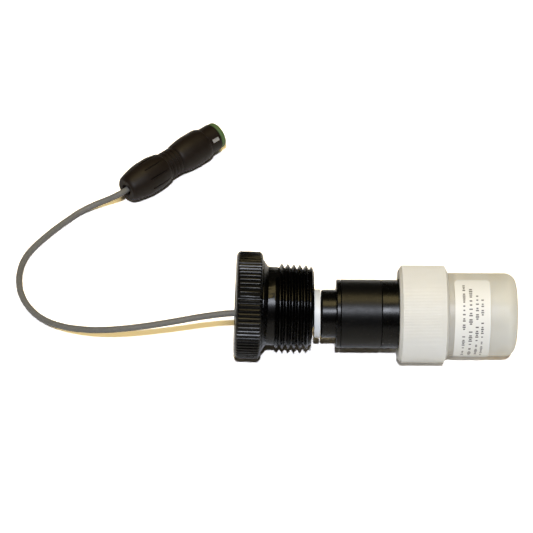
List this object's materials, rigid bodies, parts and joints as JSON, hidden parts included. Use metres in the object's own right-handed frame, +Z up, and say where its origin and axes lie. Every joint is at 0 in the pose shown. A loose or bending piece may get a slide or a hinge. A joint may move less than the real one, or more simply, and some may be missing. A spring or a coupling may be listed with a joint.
{
  "type": "dissolved oxygen sensor",
  "caption": "Probe lying in its screw-collared storage bottle, with a loose knurled pipe-thread plug behind it and a short lead to a round connector.",
  "frame": {"origin": "on the table under the middle of the probe, without the lead and connector", "axes": "+X along the probe towards the storage bottle's base, +Z up, +Y towards the side where the connector lies"},
  "size_m": [0.1959, 0.1394, 0.0415],
  "materials": {
    "gloss_black": "glossy black moulded plastic",
    "satin_black": "satin black plastic",
    "white_ring": "cool white acetal",
    "collar_white": "warm white ribbed plastic",
    "bottle_milky": "milky translucent polyethylene",
    "label_paper": "coated paper",
    "sponge_foam": "wet foam sponge",
    "seal_rubber": "black rubber",
    "membrane_film": "thin film",
    "holder_epoxy": "grey epoxy",
    "gold_plate": "gold plated",
    "anode_metal": "dull zinc",
    "sensor_steel": "steel can",
    "clamp_brass": "plain brass",
    "lead_jacket": "grey flexible jacket",
    "connector_brown": "satin brownish black",
    "insert_plastic": "dark insulating plastic",
    "face_green": "green face seal",
    "latch_metal": "small bright key"
  },
  "bodies": {
    "probe": {"rear_housing": "gloss_black", "grip_sleeve": "satin_black", "cathode_holder": "holder_epoxy", "cathode": "gold_plate", "anode": "anode_metal", "thermistor": "sensor_steel", "cable_boot": "seal_rubber", "lead": "lead_jacket", "cable_seal": "seal_rubber", "clamp_cage": "clamp_brass", "connector_shell": "connector_brown", "connector_nose": "connector_brown", "face_seal": "face_green", "index_latch": "latch_metal", "contact_insert": "insert_plastic", "contact_1": "gold_plate", "contact_2": "gold_plate", "contact_3": "gold_plate", "contact_4": "gold_plate", "contact_5": "gold_plate"},
    "ring_body": {"thrust_ring": "white_ring"},
    "plug_body": {"threaded_plug": "gloss_black"},
    "cap_body": {"front_barrel": "gloss_black", "membrane": "membrane_film", "membrane_seal": "seal_rubber", "membrane_clamp": "white_ring"},
    "bottle_body": {"storage_bottle": "bottle_milky", "bottle_seal": "seal_rubber", "sponge": "sponge_foam", "bottle_label": "label_paper"},
    "washer_body": {"slip_washer": "white_ring"},
    "collar_body": {"storage_collar": "collar_white"},
    "pressure_body": {"pressure_ring": "clamp_brass"},
    "nut_body": {"clamp_nut": "connector_brown"}
  },
  "joints": [
    {"name": "plug_slide", "type": "slide", "parent": "probe", "child": "ring_body", "axis": [-1, 0, 0], "range_m": [0, 0.02]},
    {"name": "plug_turn", "type": "hinge", "parent": "ring_body", "child": "plug_body", "pos_m": [-0.05337, 0.00021, 0.02096], "axis": [0.9991, 0, -0.0419], "continuous": true},
    {"name": "membrane_cap_turn", "type": "hinge", "parent": "probe", "child": "cap_body", "pos_m": [0.01663, -0.00211, 0.0187], "axis": [1, 0, 0], "range_deg": [0, 360]},
    {"name": "bottle_pull", "type": "slide", "parent": "probe", "child": "bottle_body", "axis": [1, 0, 0], "range_m": [0, 0.045]},
    {"name": "collar_advance", "type": "slide", "parent": "bottle_body", "child": "washer_body", "axis": [-1, 0, 0], "range_m": [0, 0.0041]},
    {"name": "collar_turn", "type": "hinge", "parent": "washer_body", "child": "collar_body", "pos_m": [0.01663, -0.00211, 0.0187], "axis": [-1, 0, 0], "range_deg": [0, 480]},
    {"name": "nut_advance", "type": "slide", "parent": "probe", "child": "pressure_body", "axis": [-0.7266, -0.6871, 0], "range_m": [0, 0.0031]},
    {"name": "nut_turn", "type": "hinge", "parent": "pressure_body", "child": "nut_body", "pos_m": [-0.09223, 0.08657, 0.0073], "axis": [-0.7266, -0.6871, 0], "range_deg": [0, 1080]}
  ],
  "couplings": [
    {"joint": "collar_advance", "follows": "collar_turn", "m_per_rad": 0.00047746},
    {"joint": "nut_advance", "follows": "nut_turn", "m_per_rad": 0.00015915}
  ]
}
